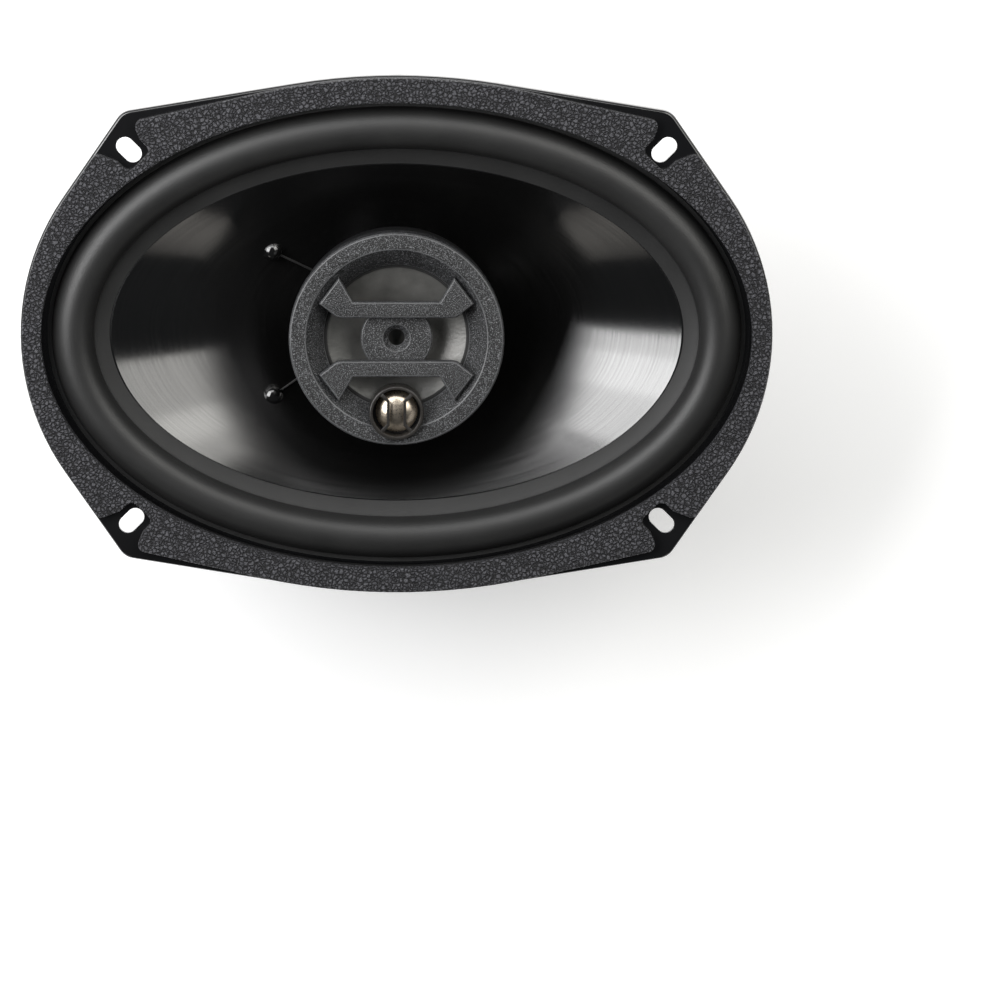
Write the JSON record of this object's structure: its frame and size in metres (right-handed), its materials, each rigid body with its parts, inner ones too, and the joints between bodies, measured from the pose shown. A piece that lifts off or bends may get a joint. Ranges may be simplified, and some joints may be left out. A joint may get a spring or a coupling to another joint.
{
  "type": "coaxial car speaker",
  "caption": "Oval coaxial car speaker: pressed steel basket, leather-grain gasket, rolled surround, deep gloss cone and a centre pod with midrange and super tweeter.",
  "frame": {"origin": "centre of the plane where the flange's turned-down rim meets the panel", "axes": "+Z out of the front along the speaker's axis, +X along the long side, +Y along the short side, away from the super tweeter"},
  "size_m": [0.236, 0.1646, 0.0926],
  "materials": {
    "painted_steel": "gloss black paint",
    "zinc_plated_steel": "bright zinc plating",
    "ferrite": "sintered ferrite, dull",
    "leatherette": "leather-grain foam gasket",
    "phenolic": "laminated phenolic board",
    "tinned_brass": "tin plated",
    "sleeve": "printed heat-shrink sleeve, plain",
    "braid": "braided copper",
    "wire_insulation": "pvc insulation",
    "pod_plastic": "fine spark texture",
    "pod_shell": "satin moulded plastic",
    "nickel": "nickel plated",
    "midrange_paper": "silver-grey coated paper",
    "surround_rubber": "matt butyl rubber",
    "cone_film": "gloss black polypropylene",
    "coil_former": "foil former",
    "copper": "enamelled copper wire",
    "spider_cloth": "resin-dipped cotton",
    "glue": "gloss black adhesive",
    "titanium": "warm metal film"
  },
  "bodies": {
    "chassis": {"basket": "painted_steel", "gasket": "leatherette", "chassis_rivets": "zinc_plated_steel", "top_plate": "zinc_plated_steel", "magnet": "ferrite", "t_yoke": "zinc_plated_steel", "terminal_board": "phenolic", "terminal_positive": "tinned_brass", "terminal_negative": "tinned_brass", "terminal_rivets": "nickel", "crossover_capacitor": "sleeve", "tinsel_leads": "braid", "pod_wires": "wire_insulation", "pod_post": "pod_shell", "pod_housing": "pod_shell", "pod_bezel": "pod_plastic", "bridge_bar_upper": "pod_plastic", "bridge_bar_lower": "pod_plastic", "pod_hub": "pod_plastic", "pod_bolt": "zinc_plated_steel", "pod_nut": "zinc_plated_steel", "midrange_frame": "painted_steel", "midrange_yoke": "nickel", "midrange_magnet": "nickel", "midrange_pole_plate": "zinc_plated_steel", "super_tweeter_housing": "pod_plastic", "super_tweeter_magnet": "nickel", "super_tweeter_guard": "pod_plastic"},
    "midrange_diaphragm": {"midrange_cone": "midrange_paper", "midrange_surround": "surround_rubber", "midrange_dust_cap": "midrange_paper", "midrange_coil": "copper"},
    "tweeter_diaphragm": {"super_tweeter_dome": "titanium"},
    "woofer_diaphragm": {"woofer_cone": "cone_film", "surround": "surround_rubber", "voice_coil_former": "coil_former", "voice_coil": "copper", "spider": "spider_cloth", "glue_beads": "glue", "coil_wires": "wire_insulation"}
  },
  "joints": [
    {"name": "woofer_travel", "type": "slide", "parent": "chassis", "child": "woofer_diaphragm", "axis": [0, 0, 1], "range_m": [-0.004, 0.004], "stiffness_N_per_m": 2800, "deforming": ["surround", "spider", "tinsel_leads"]},
    {"name": "midrange_travel", "type": "slide", "parent": "chassis", "child": "midrange_diaphragm", "axis": [0, 0, 1], "range_m": [-0.0005, 0.0005], "stiffness_N_per_m": 1500, "deforming": ["midrange_surround"]},
    {"name": "tweeter_travel", "type": "slide", "parent": "chassis", "child": "tweeter_diaphragm", "axis": [0, 0, 1], "range_m": [-0.0002, 0.0002], "stiffness_N_per_m": 1500}
  ]
}
